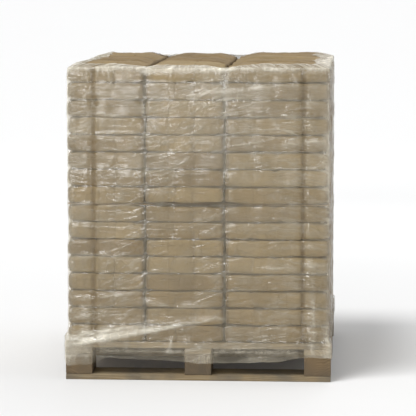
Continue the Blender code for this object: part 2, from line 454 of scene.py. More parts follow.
def stretch_film():
    """Cast polyethylene film in three or four turns: clear and glossy, milky where it is doubled, folded or
    has air under it, wrinkled along the winding, with the web's edges climbing round the load."""
    made, add = new_material("clear_stretch_film")
    place = add("TexCoord").outputs["Object"]
    # The unrolled film in metres, bent round a circle of the same girth, so that no pattern has a seam
    wound = add("Attribute", attribute_name="wound").outputs["Vector"]
    # The haze attribute also carries a painted highlight along the load's corners
    milk_and_highlight = add("Attribute", attribute_name="haze").outputs["Fac"]
    slack = add("Attribute", attribute_name="gather").outputs["Fac"]
    web = add("SeparateXYZ", {"Vector": add("UVMap", uv_map="web")})
    # The web's edges: one set wound on the way up and one on the way down, each line about 6 mm wide
    edges, bands = [], []
    for turns, sense, width in ((1.0, 1.0, 0.034), (0.74, -1.0, 0.026)):
        climb = add("Math", {0: web.outputs["Y"], 1: turns}, operation="MULTIPLY")
        turned = weighted_sum(add, climb, ((sense, web.outputs["X"]),))
        part = add("Math", {0: turned}, operation="FRACT")
        edges.append(add("MapRange", {"Value": part, "From Max": width, "To Min": 1.0, "To Max": 0.0}))
        bands.append(add("Math", {0: part, 1: 0.42}, operation="LESS_THAN"))
    # Stretch marks drawn out along the winding, 18 mm apart and 170 mm long
    drawn = add("Mapping", {"Vector": wound, "Scale": (6.0, 6.0, 55.0)})
    pull = add("TexNoise", {
        "Vector": drawn, "Scale": 1.0, "Detail": 3.0, "Roughness": 0.5, "Distortion": 0.4})
    # Wrinkles, 5 to 8 mm wide and in patches: one set leans up to 12 degrees from the winding, one up to 25
    wrinkles = []
    for bend, lean, phase, fine, seed in ((6.0, 0.050, 1.0, 34.0, 0.0), (4.0, 0.160, 2.6, 27.0, 7.0)):
        angle = weighted_sum(add, phase, ((bend * math.pi, web.outputs["X"]),))
        swing = add("Math", {0: angle}, operation="SINE")
        rise = add("CombineXYZ", {"Z": weighted_sum(add, seed, ((lean, swing),))})
        leaning = add("VectorMath", {0: wound, 1: rise}, operation="ADD")
        long = add("Mapping", {"Vector": leaning, "Scale": (4.5, 4.5, fine)})
        swirl = add("TexNoise", {"Vector": long, "Scale": 1.0, "Detail": 1.5, "Distortion": 0.7})
        thread = line_at(add, swirl, 0.5, 0.075, **SMOOTH)
        patch = add("TexNoise", {"Vector": leaning, "Scale": 3.6, "Detail": 1.0})
        shown = add("MapRange", {"Value": patch, "From Min": 0.47, "From Max": 0.62}, **SMOOTH)
        wrinkles.append(add("Math", {0: thread, 1: shown}, operation="MULTIPLY"))
    # Gathers across the winding at the foot and over the top edge, 15 to 30 mm apart
    pinched = add("Mapping", {"Vector": wound, "Scale": (36.0, 36.0, 7.0)})
    pleat = add("TexNoise", {"Vector": pinched, "Scale": 1.0, "Detail": 1.0, "Distortion": 0.5})
    pleated = line_at(add, pleat, 0.5, 0.10, **SMOOTH)
    gathers = add("Math", {0: pleated, 1: slack}, operation="MULTIPLY")
    # Cling: patches some 70 mm across where air is trapped or squeezed out
    cling = add("TexNoise", {
        "Vector": place, "Scale": 13.0, "Detail": 4.0, "Roughness": 0.55, "Distortion": 0.9})
    clung = add("MapRange", {"Value": cling, "From Min": 0.49, "From Max": 0.60}, **SMOOTH)
    # Crackle where the film is bunched, 25 to 35 mm apart
    cell = add("TexVoronoi", {"Vector": place, "Scale": 34.0}, feature="DISTANCE_TO_EDGE")
    crackle = add("MapRange", {"Value": cell, "From Max": 0.10, "To Min": 1.0, "To Max": 0.0})
    doubled = add("Math", {0: milk_and_highlight, 1: 0.0}, operation="MAXIMUM")
    bunched = add("Math", {0: crackle, 1: doubled}, operation="MULTIPLY")
    seen = weighted_sum(add, 0.19, (
        (0.55, milk_and_highlight), (0.07, edges[0]), (0.045, bands[0]), (0.06, edges[1]), (0.035, bands[1]),
        (0.08, clung), (0.17, wrinkles[0]), (0.15, wrinkles[1]), (0.30, bunched), (0.24, gathers)))
    clear = add("Clamp", {"Value": seen, "Min": 0.10, "Max": 0.9})
    # Gathered film has fine creases that spread what it mirrors
    glossy = add("MapRange", {
        "Value": cling, "From Min": 0.3, "From Max": 0.7, "To Min": 0.07, "To Max": 0.22})
    rough = weighted_sum(add, glossy, ((0.26, slack),))
    # Heights in millimetres
    relief = weighted_sum(add, 0.0, (
        (1.6, pull), (2.0, cling), (0.25, edges[0]), (0.20, edges[1]), (1.0, wrinkles[0]),
        (0.9, wrinkles[1]), (1.2, bunched), (1.6, gathers)))
    thick = add("MapRange", {"Value": milk_and_highlight, "From Min": 0.05, "From Max": 0.40})
    body = add("Mix", {
        "Factor": thick, "A": to_linear("#AFA48B"), "B": to_linear("#EDE6D3")}, data_type="RGBA")
    # The alpha also weakens the gloss, so the index is over polyethylene's 1.5 to keep what the turns mirror
    finish(add, {"Base Color": body, "Roughness": rough, "IOR": 2.0, "Alpha": clear}, relief, 1.0, 0.001)
    return made


# Sacks

def sack_blank(variant):
    """The sack before it is filled: a flat box, a little small, with lines where folds will come."""
    edges = (0.0, 0.004, 0.010, 0.019, 0.031)
    marks = (CORNER_CREASE - CREASE_WIDTH, CORNER_CREASE, CORNER_CREASE + CREASE_WIDTH)
    xs, ys = [stations(2 * (half - BLANK_INSET), edges, 0.022, marks) for half in SACK_HALF]
    shares = (0.0, 0.04, 0.11, 0.22, 0.42, 0.58, 0.78, 0.89, 0.96, 1.0)
    mesh = grid_box(f"sack_blank_{variant}", xs, ys, [SACK_THICKNESS * (share - 0.5) for share in shares])
    points = read_points(mesh)
    keep_on_points(mesh, "sack", points, "FLOAT_VECTOR")
    points += np.stack([soft_noise(points, 13.0, variant * 3 + k) for k in range(3)], 1) * 0.0012
    write_points(mesh, points)
    return mesh


def fill_sack(mesh, variant):
    """Fill the sack by cloth simulation while the sacks above and below hold it flat."""
    start = read_points(mesh)
    sack = add_object(mesh.name, mesh)
    held = sack.vertex_groups.new(name="held")
    inside = (SACK_HALF - np.abs(start[:, :2])).min(1)
    flat = np.abs(start[:, 2]) > SACK_THICKNESS * 0.47
    for index in np.nonzero(flat & (inside > HELD_FROM))[0]:
        held.add([int(index)], float(min(1.0, (inside[index] - HELD_FROM) / HELD_OVER)), "REPLACE")
    cloth = sack.modifiers.new("paper", "CLOTH")
    for name, value in (
            ("quality", 6), ("mass", 0.12), ("tension_stiffness", 60), ("compression_stiffness", 60),
            ("shear_stiffness", 30), ("bending_stiffness", 3), ("shrink_min", -0.02), ("use_pressure", True),
            ("uniform_pressure_force", 5.0 + 0.7 * variant), ("vertex_group_mass", held.name)):
        setattr(cloth.settings, name, value)
    cloth.settings.effector_weights.gravity = 0
    cloth.collision_settings.use_collision = False
    cloth.point_cache.frame_start = 1
    cloth.point_cache.frame_end = FILL_FRAMES
    scene = bpy.context.scene
    for number in range(1, FILL_FRAMES + 1):
        scene.frame_set(number)
    graph = bpy.context.evaluated_depsgraph_get()
    filled = bpy.data.meshes.new_from_object(sack.evaluated_get(graph))
    points = read_points(filled)
    bpy.data.objects.remove(sack)
    bpy.data.meshes.remove(filled)
    scene.frame_set(1)
    moved = points - start
    far = np.linalg.norm(moved, axis=1, keepdims=True)
    return start + moved * np.minimum(1.0, FILL_REACH / np.maximum(far, 1e-9))


def press_sack(points, variant):
    """Press the filled sack into its cell: flat above and below, dented sides, soft edges, thin corners."""
    points[:, 2] = np.clip(points[:, 2], -SACK_RISE, SACK_RISE)
    half = SACK_HALF - CELL_CLEARANCE
    waist = np.abs(points[:, 2]) < SACK_THICKNESS * 0.3
    for axis in (0, 1):
        side = np.abs(points[:, axis])
        middle = np.abs(points[:, 1 - axis]) < SACK_HALF[1 - axis] - 0.045
        slack = np.percentile(side[waist & middle & (side > SACK_HALF[axis] - 0.03)], 30)
        points[:, axis] = np.clip(points[:, axis] * half[axis] / slack, -half[axis], half[axis])
    # Corners rounded in plan by 9 to 19 mm
    flat, high = np.abs(points[:, :2]), np.abs(points[:, 2])
    corner_by = CORNER_ROUND + CORNER_ROUND_SWING * soft_noise(points, 9.0, variant + 40)
    core = half - corner_by[:, None]
    beyond = np.maximum(flat - core, 0.0)
    reach = np.linalg.norm(beyond, axis=1)
    far = np.maximum(reach, 1e-9)
    flat = np.minimum(flat, core) + beyond * np.minimum(1.0, corner_by / far)[:, None]
    inside = half - flat
    outward = np.where(reach[:, None] > 0, beyond / far[:, None], np.eye(2)[inside.argmin(1)])
    depth = np.where(reach > 0, corner_by - np.minimum(reach, corner_by), inside.min(1))
    # Upper and lower edges: about 8 mm at the pasted ends, 13 mm along the sides, sharper where sacks press
    edge_by = END_EDGE_ROUND + SIDE_EDGE_ROUND * outward[:, 0] ** 2
    edge_by += EDGE_ROUND_SWING * soft_noise(points, 10.0, variant + 50)
    edge_by = np.maximum(edge_by, EDGE_ROUND_LEAST)
    over = np.maximum(edge_by - depth, 0.0)
    above = np.maximum(high - (SACK_RISE - edge_by), 0.0)
    share = np.minimum(1.0, edge_by / np.maximum(np.hypot(over, above), 1e-9))
    flat -= outward * (over * (1 - share))[:, None]
    high = np.minimum(high, SACK_RISE - edge_by) + above * share
    # Sides dented where they lean on nothing
    dent = SIDE_DENT * (1 - dents(points, 17.0, variant)) * step(-depth, -0.020, -0.002)
    flat -= outward * dent[:, None]
    # The rim sags unevenly and the corners hold little, so gaps open between the layers
    uneven = np.maximum(0.0, soft_noise(points, 14.0, variant + 60)) + 0.10
    rim = step(-inside.min(1), -0.055, -0.004)
    corner = step(-inside, -0.080, -0.006).prod(1)
    high *= 1 - 0.13 * uneven * rim - 0.09 * corner
    return np.sign(points) * np.column_stack([flat, high])


def merge_buried(work, side):
    """Turn the buried middle of a sack's lower (-1) or upper (1) side into one face."""
    buried = []
    for face in work.faces:
        middle = face.calc_center_median()
        if (side * middle.z > SACK_THICKNESS * 0.46 and abs(middle.x) < SACK_HALF[0] - BURIED_MARGIN
                and abs(middle.y) < SACK_HALF[1] - BURIED_MARGIN):
            buried.append(face)
    bmesh.ops.dissolve_faces(work, faces=buried, use_verts=True)


def buried_sack(mesh):
    """The sack with one face each for the middle of its top and bottom, which no one sees."""
    work = bmesh.new()
    work.from_mesh(mesh)
    merge_buried(work, -1)
    merge_buried(work, 1)
    work.to_mesh(mesh)
    work.free()
    return mesh


def crumpled_top(mesh, variant):
    """A finer copy for the top layer, whose upper face shows: slightly domed, with soft crumples."""
    work = bmesh.new()
    work.from_mesh(mesh)
    merge_buried(work, -1)
    edges = [e for e in work.edges if max(v.co.z for v in e.verts) > -SACK_THICKNESS * 0.49]
    bmesh.ops.subdivide_edges(work, edges=edges, cuts=1, smooth=0.6, use_grid_fill=True)
    fine = bpy.data.meshes.new(f"top_sack_{variant}")
    work.to_mesh(fine)
    work.free()
    points = read_points(fine)
    inside = (SACK_HALF - np.abs(points[:, :2])).min(1)
    upper = step(points[:, 2], 0.0, SACK_RISE - 0.004)
    fallen = 0.0170 * (1 - step(inside, -0.004, 0.095)) ** 1.4
    crumpled = 0.0085 * (1 - dents(points, 11.0, variant + 20))
    crumpled += 0.0045 * (1 - dents(points, 27.0, variant + 25))
    rolling = 0.0040 * (1 - soft_noise(points, 6.0, variant + 30))
    points[:, 2] -= upper * (fallen + crumpled * step(inside, 0.004, 0.030) + rolling - 0.0095)
    points[:, 2] = np.clip(points[:, 2], -SACK_RISE, SACK_RISE + 0.0055)
    # The sides wander in by up to 9 mm
    wander = 0.0045 * (1 + soft_noise(points, 11.0, variant + 70)) * step(points[:, 2], -0.020, 0.012)
    for axis, half in enumerate(SACK_HALF):
        near = step(np.abs(points[:, axis]), half - 0.045, half - 0.004)
        points[:, axis] -= np.sign(points[:, axis]) * near * wander
    write_points(fine, points)
    return fine


def make_variants():
    """Sacks filled in turn: one collection for the buried layers and one, finer, for the top layer."""
    buried = bpy.data.collections.new("buried_sacks")
    topmost = bpy.data.collections.new("top_sacks")
    for variant in range(SACK_VARIANTS):
        mesh = sack_blank(variant)
        write_points(mesh, press_sack(fill_sack(mesh, variant), variant))
        mesh.shade_smooth()
        topmost.objects.link(bpy.data.objects.new(f"top_sack_{variant}", crumpled_top(mesh, variant)))
        buried.objects.link(bpy.data.objects.new(f"buried_sack_{variant}", buried_sack(mesh)))
    return buried, topmost


def sack_layer_tree(surface):
    """Geometry Nodes that set the sacks of one layer down on its points."""
    tree = bpy.data.node_groups.new("sack_layer", "GeometryNodeTree")
    add = partial(add_node, tree)
    sockets = {}
    for name, kind in (
            ("Places", "Geometry"), ("Sacks", "Collection"), ("Seed", "Int"), ("Slip", "Float"),
            ("Turn Slip", "Float")):
        sockets[name] = tree.interface.new_socket(
            name=name, in_out="INPUT", socket_type=f"NodeSocket{kind}").identifier
    tree.interface.new_socket(name="Layer", in_out="OUTPUT", socket_type="NodeSocketGeometry")
    given = add("NodeGroupInput").outputs
    variant = add("GeometryNodeInputNamedAttribute", {"Name": "variant"}, data_type="INT")
    turn = add("GeometryNodeInputNamedAttribute", {"Name": "turn"}, data_type="FLOAT")
    sacks = add("GeometryNodeCollectionInfo", {
        "Collection": given["Sacks"], "Separate Children": True, "Reset Children": True})
    low = add("ShaderNodeMath", {0: given["Turn Slip"], 1: -1.0}, operation="MULTIPLY")
    twist = add("FunctionNodeRandomValue", {
        "Min": low, "Max": given["Turn Slip"], "Seed": given["Seed"]}, data_type="FLOAT")
    about = add("ShaderNodeMath", {0: turn, 1: twist}, operation="ADD")
    upright = add("ShaderNodeCombineXYZ", {"Z": about})
    far = add("ShaderNodeCombineXYZ", {"X": given["Slip"], "Y": given["Slip"]})
    near = add("ShaderNodeVectorMath", {0: far, "Scale": -1.0}, operation="SCALE")
    slid = add("FunctionNodeRandomValue", {
        "Min": near, "Max": far, "Seed": given["Seed"]}, data_type="FLOAT_VECTOR")
    moved = add("GeometryNodeSetPosition", {"Geometry": given["Places"], "Offset": slid})
    laid = add("GeometryNodeInstanceOnPoints", {
        "Points": moved, "Instance": sacks, "Pick Instance": True, "Instance Index": variant,
        "Rotation": upright})
    tone = add("FunctionNodeRandomValue", {"Min": 0.0, "Max": 1.0, "Seed": given["Seed"]}, data_type="FLOAT")
    toned = add("GeometryNodeStoreNamedAttribute", {
        "Geometry": laid, "Name": "tone", "Value": tone}, data_type="FLOAT", domain="INSTANCE")
    real = add("GeometryNodeRealizeInstances", {"Geometry": toned})
    dressed = add("GeometryNodeSetMaterial", {"Geometry": real, "Material": surface})
    add("NodeGroupOutput", {"Layer": dressed})
    return tree, sockets


def layer_places(number):
    """The middles of a layer's sacks with each one's variant and turn: two columns lengthwise, one not."""
    low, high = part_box(f"sack_layer_{number:02d}")
    middle = (low + high) / 2
    lengthwise = (SACK_WIDTH, SACK_LENGTH, 0.0)
    columns = (lengthwise, lengthwise, (SACK_LENGTH, SACK_WIDTH, 90.0))
    left = -sum(column[0] for column in columns) / 2
    depth = 3 * SACK_LENGTH
    places, variants, turns = [], [], []
    for across, deep, turn in columns:
        for row in range(round(depth / deep)):
            away = (row + 0.5) * deep - depth / 2
            places.append((left + across / 2 + middle.x, away + middle.y, middle.z))
            variants.append(hand.randrange(SACK_VARIANTS))
            turns.append(math.radians(turn + 180 * hand.randrange(2)))
        left += across
    mesh = bpy.data.meshes.new(f"places_{number:02d}")
    mesh.from_pydata(places, [], [])
    keep_on_points(mesh, "variant", variants, "INT")
    keep_on_points(mesh, "turn", turns)
    return mesh


def settle_layer(points, number):
    """What the film and the load do to a layer: faces pressed flat, corners drawn in behind a crease, and
    a slack edge in the middle of the sides beside the pad and at the top of the load."""
    low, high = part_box(f"sack_layer_{number:02d}")
    flat = points[:, :2].copy()
    from_face = FACE_LIMITS - np.abs(flat)
    rise = points[:, 2] - (low.z + high.z) / 2
    away = np.abs(rise) / SACK_RISE
    for axis, limit in enumerate(FACE_LIMITS):
        value = points[:, axis]
        corner = from_face[:, 1 - axis]
        outer = step(np.abs(value), limit - 0.07, limit - 0.004)
        drawn = CORNER_DRAWN_IN * step(-corner, -CORNER_CREASE, -0.01)
        groove = CREASE_DEPTH * np.exp(-((corner - CORNER_CREASE) / CREASE_WIDTH) ** 2)
        bead = CORNER_BEAD * step(-corner, -CORNER_CREASE, -CORNER_CREASE * 0.7) * away ** 3
        points[:, axis] = np.clip(value - np.sign(value) * outer * (drawn + groove + bead), -limit, limit)
    if number in SLACK_EDGES:
        sense, depth = SLACK_EDGES[number]
        for axis in (0, 1):
            span = step(-np.abs(flat[:, axis]), -0.20, -0.11) * step(-from_face[:, 1 - axis], -0.16, -0.02)
            points[:, 2] -= sense * depth * span * step(sense * rise, -0.02, SACK_RISE - 0.004)
    # The top layer is pushed in by 12 mm left of the middle in front
    if number == LAYER_COUNT:
        x, y = flat.T
        dent = step(x, -0.24, -0.17) * step(-x, 0.0, 0.06) * step(rise, -0.012, 0.010)
        points[:, 1] += 0.012 * dent * step(-y, FACE_LIMITS[1] - 0.05, FACE_LIMITS[1] - 0.01)
    return points


def build_layers(surface):
    """Sixteen layers of ten sacks, each layer one piece."""
    buried, topmost = make_variants()
    tree, sockets = sack_layer_tree(surface)
    layers = []
    for number in range(1, LAYER_COUNT + 1):
        name = f"sack_layer_{number:02d}"
        carrier = add_object(f"{name}_places", layer_places(number))
        laying = carrier.modifiers.new("laying", "NODES")
        laying.node_group = tree
        laying[sockets["Sacks"]] = topmost if number == LAYER_COUNT else buried
        laying[sockets["Seed"]] = LAYING_SEED + number
        laying[sockets["Slip"]] = SACK_SLIP
        laying[sockets["Turn Slip"]] = SACK_TURN_SLIP
        graph = bpy.context.evaluated_depsgraph_get()
        mesh = bpy.data.meshes.new_from_object(carrier.evaluated_get(graph), depsgraph=graph)
        bpy.data.objects.remove(carrier)
        write_points(mesh, settle_layer(read_points(mesh), number))
        layer = add_object(f"sacks_{number:02d}", mesh)
        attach(layer, "root")
        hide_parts(name)
        layers.append(layer)
    return layers


# Pallet

def worn_board(node, along, surface, seed):
    """A sawn board or block in a node's place, its arrises chipped and its faces a little uneven."""
    low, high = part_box(node)
    size, middle = np.array(high - low), np.array((low + high) / 2)
    lines = []
    for axis in range(3):
        spacing = 0.026 if axis == along else 0.015
        lines.append(stations(size[axis], (0.0, 0.0016), min(spacing, size[axis] / 2.5)))
    mesh = grid_box(f"worn_{node}", *lines)
    points = read_points(mesh)
    near = np.abs(points) / (size / 2) > 0.9999
    arris = near.sum(1)
    wear = noise_at(points, 21.0, (seed, 0, 0))
    deep = noise_at(points, 9.0, (0, seed, 3))
    chipped = 0.0010 + 0.006 * np.clip(wear - 0.25, 0, 1) + 0.004 * np.clip(deep - 0.4, 0, 1)
    back = np.where(arris >= 2, chipped, np.where(arris == 1, 0.00025 + 0.0002 * wear, 0.0))
    points -= np.sign(points) * near * back[:, None]
    # Where the board lay in the trunk, along it and beside the pith. Two of the draws along it are passed
    # over, so that the later draws stay as they are
    trunk, _, _ = [hand.uniform(-5, 5) for _ in range(3)]
    grain = points[:, [along] + [axis for axis in range(3) if axis != along]]
    grain += (trunk, hand.uniform(-0.09, 0.09), hand.uniform(0.02, 0.12))
    keep_on_points(mesh, "grain", grain, "FLOAT_VECTOR")
    write_points(mesh, points + middle)
    mesh.shade_smooth()
    mesh.set_sharp_from_angle(angle=math.radians(35))
    board = add_object(f"worn_{node}", mesh, surface)
    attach(board, "root")
    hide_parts(node)
    "pallet_block" if "block" in node else "pallet_board"
    return board


def build_pallet():
    """The nine-block pallet, board by board."""
    board_wood = pallet_pine("rough_sawn_pine_board", "#AC9A78", "#8B7654", "#746B5C")
    block_wood = pallet_pine("rough_sawn_pine_block", "#836E4F", "#604E37", "#52493B")
    parts = []
    for row in (1, 2, 3):
        parts.append((f"bottom_board_{row}", 0, board_wood))
        parts.append((f"stringer_{row}", 1, board_wood))
        for column in (1, 2, 3):
            parts.append((f"block_{row}_{column}", 1, block_wood))
    for number in range(1, 8):
        parts.append((f"deck_board_{number}", 0, board_wood))
    return [worn_board(*part, 3.1 * number) for number, part in enumerate(parts)]


# Film

def film_columns():
    """The film's upright lines round the load: each one's side, 1 on the corner after it, share along."""
    columns = []
    for side in range(4):
        half = FILM_HALF_X if side % 2 == 0 else FILM_HALF_Y
        count = round(2 * (half - FILM_CORNER) / FILM_SPACING)
        columns += [(side, 0, i / count) for i in range(count)]
        columns += [(side, 1, i / CORNER_COLUMNS) for i in range(CORNER_COLUMNS)]
    return np.array(columns, float)


def film_outline(columns, inset):
    """Point and outward direction on the plain rounded outline, drawn in by inset, for each column."""
    half_x = FILM_HALF_X - inset
    half_y = FILM_HALF_Y - inset
    radius = np.maximum(FILM_CORNER - inset, 0.002)
    side, corner, share = columns.T
    # In each side's own frame the side runs along +a and faces -b
    half_a = np.where(side % 2 == 0, half_x, half_y)
    half_b = np.where(side % 2 == 0, half_y, half_x)
    turn = share * math.pi / 2 * corner
    a = np.where(corner == 0, 2 * share - 1, 1.0) * (half_a - radius) + radius * np.sin(turn)
    b = radius * (1 - np.cos(turn)) - half_b
    angle = side * math.pi / 2
    c, s = np.cos(angle), np.sin(angle)
    place = np.stack([a * c - b * s, a * s + b * c], 1)
    out = np.stack([np.sin(turn) * c + np.cos(turn) * s, np.sin(turn) * s - np.cos(turn) * c], 1)
    return place, out


def on_front(xy):
    """Which upright lines are in front, and their share of its width."""
    front = step(-xy[:, 1], FILM_HALF_Y - FILM_CORNER, FILM_HALF_Y)
    return front, (xy[:, 0] + FILM_HALF_X) / (2 * FILM_HALF_X)


def film_rows(columns, xy, facing):
    """Rows of points up the side, over the top edge and in along the lip: places on the plain outline,
    outward directions, and heights on the unrolled film."""
    count = len(columns)
    flat = np.column_stack([xy, np.zeros(count)])
    wave = noise_at(flat, 3.0, (0, 0, 2)) + 0.5 * noise_at(flat, 11.0, (0, 0, 5))
    ragged = noise_at(flat, 19.0, (0, 0, 9))
    # The foot and the lip wander, the foot less in front, where it follows the photograph
    front, share = on_front(xy)
    hang = np.interp(share, FOOT_SHARES, FOOT_HANGS)
    foot = FILM_BOTTOM + (0.011 - 0.006 * front) * wave + 0.004 * ragged + hang * front
    lip = np.maximum(FILM_LIP_LEAST, FILM_LIP + 0.024 * np.roll(wave, 40) + 0.016 * ragged)
    side_rows = round((FILM_RIM - FILM_TOP_EDGE) / FILM_SPACING)
    lip_rows = round(FILM_LIP / FILM_SPACING)
    rows = []
    for i in range(side_rows + 1):
        z = foot + (FILM_TOP - FILM_TOP_EDGE - foot) * i / side_rows
        rows.append((xy, z, facing, 0.0, z - FILM_BOTTOM))
    for i in range(1, EDGE_ROWS + 1):
        turn = math.pi / 2 * i / EDGE_ROWS
        edge_xy, edge_facing = film_outline(columns, FILM_TOP_EDGE * (1 - math.cos(turn)))
        rows.append((edge_xy, FILM_TOP - FILM_TOP_EDGE * (1 - math.sin(turn)), edge_facing * math.cos(turn),
                     math.sin(turn), FILM_RIM + FILM_TOP_EDGE * (turn - 1)))
    for i in range(1, lip_rows + 1):
        inset = FILM_TOP_EDGE + (lip - FILM_TOP_EDGE) * i / lip_rows
        rows.append((film_outline(columns, inset)[0], FILM_TOP, np.zeros((count, 2)), 1.0, FILM_RIM + inset))
    place = np.array([np.column_stack([at, np.full(count, z)]) for at, z, _, _, _ in rows])
    out = np.array([np.column_stack([faced, np.full(count, risen)]) for _, _, faced, risen, _ in rows])
    up = np.array([np.full(count, height) for _, _, _, _, height in rows])
    return place, out, up


def shifted(field, rows, columns):
    """The field moved over by whole cells, wrapping round the load but not over its ends."""
    source = np.clip(np.arange(len(field)) - rows, 0, len(field) - 1)
    return np.roll(field, columns, 1)[source]


def spread_high(field, rows, columns):
    """The highest value within some cells of each."""
    wide = np.max([shifted(field, 0, k) for k in range(-columns, columns + 1)], 0)
    return np.max([shifted(wide, k, 0) for k in range(-rows, rows + 1)], 0)


def smoothed(field, rounds):
    """The field evened out over its neighbours."""
    for _ in range(rounds):
        field = 0.4 * field + 0.15 * (
            shifted(field, 1, 0) + shifted(field, -1, 0) + shifted(field, 0, 1) + shifted(field, 0, -1))
    return field


def height_under(covered, pad, place, out):
    """How high what lies under the film stands over the plain outline, at each point and its neighbours."""
    # The pad is taken thicker, so that a row of the film's points meets its corners
    points, faces, offset = [], [], 0
    for under in covered + [pad]:
        under.data.calc_loop_triangles()
        co = read_points(under.data)
        if under == pad:
            co[:, 2] += np.sign(co[:, 2] - co[:, 2].mean()) * FILM_SPACING / 2
        triangles = np.empty(len(under.data.loop_triangles) * 3, np.int32)
        under.data.loop_triangles.foreach_get("vertices", triangles)
        points.append(co)
        faces.append(triangles.reshape(-1, 3) + offset)
        offset += len(co)
    below = BVHTree.FromPolygons(np.concatenate(points).tolist(), np.concatenate(faces).tolist())
    under = np.full(place.shape[:2], NOTHING_UNDER)
    for cell in np.ndindex(under.shape):
        start = Vector(place[cell] + out[cell] * FILM_REACH_OUT)
        hit = below.ray_cast(start, Vector(-out[cell]), FILM_REACH_OUT + FILM_REACH_IN)
        if hit[0] is not None:
            under[cell] = max(-FILM_REACH_IN, FILM_REACH_OUT - hit[3])
    return spread_high(under, 1, 1)


def film_folds(corners, girth):
    """All folds: each one's start and end on the unrolled film, its height and its width."""
    width = 2 * (FILM_HALF_X - FILM_CORNER)
    folds = [((a * width, b), (c * width, d), height, wide) for a, b, c, d, height, wide in FRONT_FOLDS]
    # Tension lines that leave the corners
    for corner in corners:
        for _ in range(FOLDS_PER_CORNER):
            z = hand.uniform(0.04, 1.05)
            sense = hand.choice((-1, 1))
            length = hand.uniform(0.10, 0.42)
            slope = hand.uniform(-0.16, 0.16)
            folds.append(((corner + sense * 0.01, z), (corner + sense * length, z + slope * length),
                          hand.uniform(0.0012, 0.0030), hand.uniform(*FOLD_WIDTHS)))
    # Short upright ones at the foot, and others over the top edge
    for _ in range(FOOT_FOLDS):
        p, z = hand.uniform(0, girth), hand.uniform(0.0, 0.03)
        folds.append(((p, z - 0.02), (p + hand.uniform(-0.05, 0.05), z + hand.uniform(0.04, 0.11)),
                      hand.uniform(0.0015, 0.0035), hand.uniform(*FOLD_WIDTHS)))
    for _ in range(RIM_FOLDS):
        p = hand.uniform(0, girth)
        folds.append(((p, 1.04 + hand.uniform(-0.06, 0.03)), (p + hand.uniform(-0.07, 0.07), 1.24),
                      hand.uniform(0.0014, 0.0034), hand.uniform(*FOLD_WIDTHS)))
    return folds


def ridge(along, up, start, end, height, width, girth):
    """A fold standing up along a line on the unrolled film, fading at its ends."""
    run, rise = end[0] - start[0], end[1] - start[1]
    length = math.hypot(run, rise)
    from_start = (along - start[0] + girth / 2) % girth - girth / 2
    t = (from_start * run + (up - start[1]) * rise) / length ** 2
    off = (-from_start * rise + (up - start[1]) * run) / length
    fade = step(t, -0.02, 0.25) * step(-t, -1.02, -0.5)
    width = width * np.clip(1.5 - t, 0.4, 1.6)
    profile = np.exp(-np.abs(off) / width) * (off >= 0) + np.exp(-np.abs(off) / (width * 0.45)) * (off < 0)
    return height * fade * profile


def film_mesh(place, up, along, girth):
    """The skin's mesh, with the web's place in its UV map and the wound film in an attribute."""
    mesh = bpy.data.meshes.new("film_wrap")
    index = np.arange(up.size).reshape(up.shape)
    right = np.roll(index, -1, 1)
    quads = np.stack([index[:-1], right[:-1], right[1:], index[1:]], -1).reshape(-1, 4)
    mesh.from_pydata(place.reshape(-1, 3).tolist(), [], quads.tolist())
    angle = np.broadcast_to(along / girth * 2 * math.pi, up.shape)
    circle = girth / (2 * math.pi)
    wound = np.stack([circle * np.cos(angle), circle * np.sin(angle), up], -1)
    keep_on_points(mesh, "wound", wound, "FLOAT_VECTOR")
    climb = up / WEB_ADVANCE
    near, far = [
        np.stack([np.broadcast_to(share / girth, up.shape), risen], -1)
        for share, risen in ((along, climb), (np.append(along[1:], girth), np.roll(climb, -1, 1)))]
    loops = np.stack([near[:-1], far[:-1], far[1:], near[1:]], 2)
    mesh.uv_layers.new(name="web").data.foreach_set("uv", loops.astype(np.float32).ravel())
    mesh.shade_smooth()
    return mesh


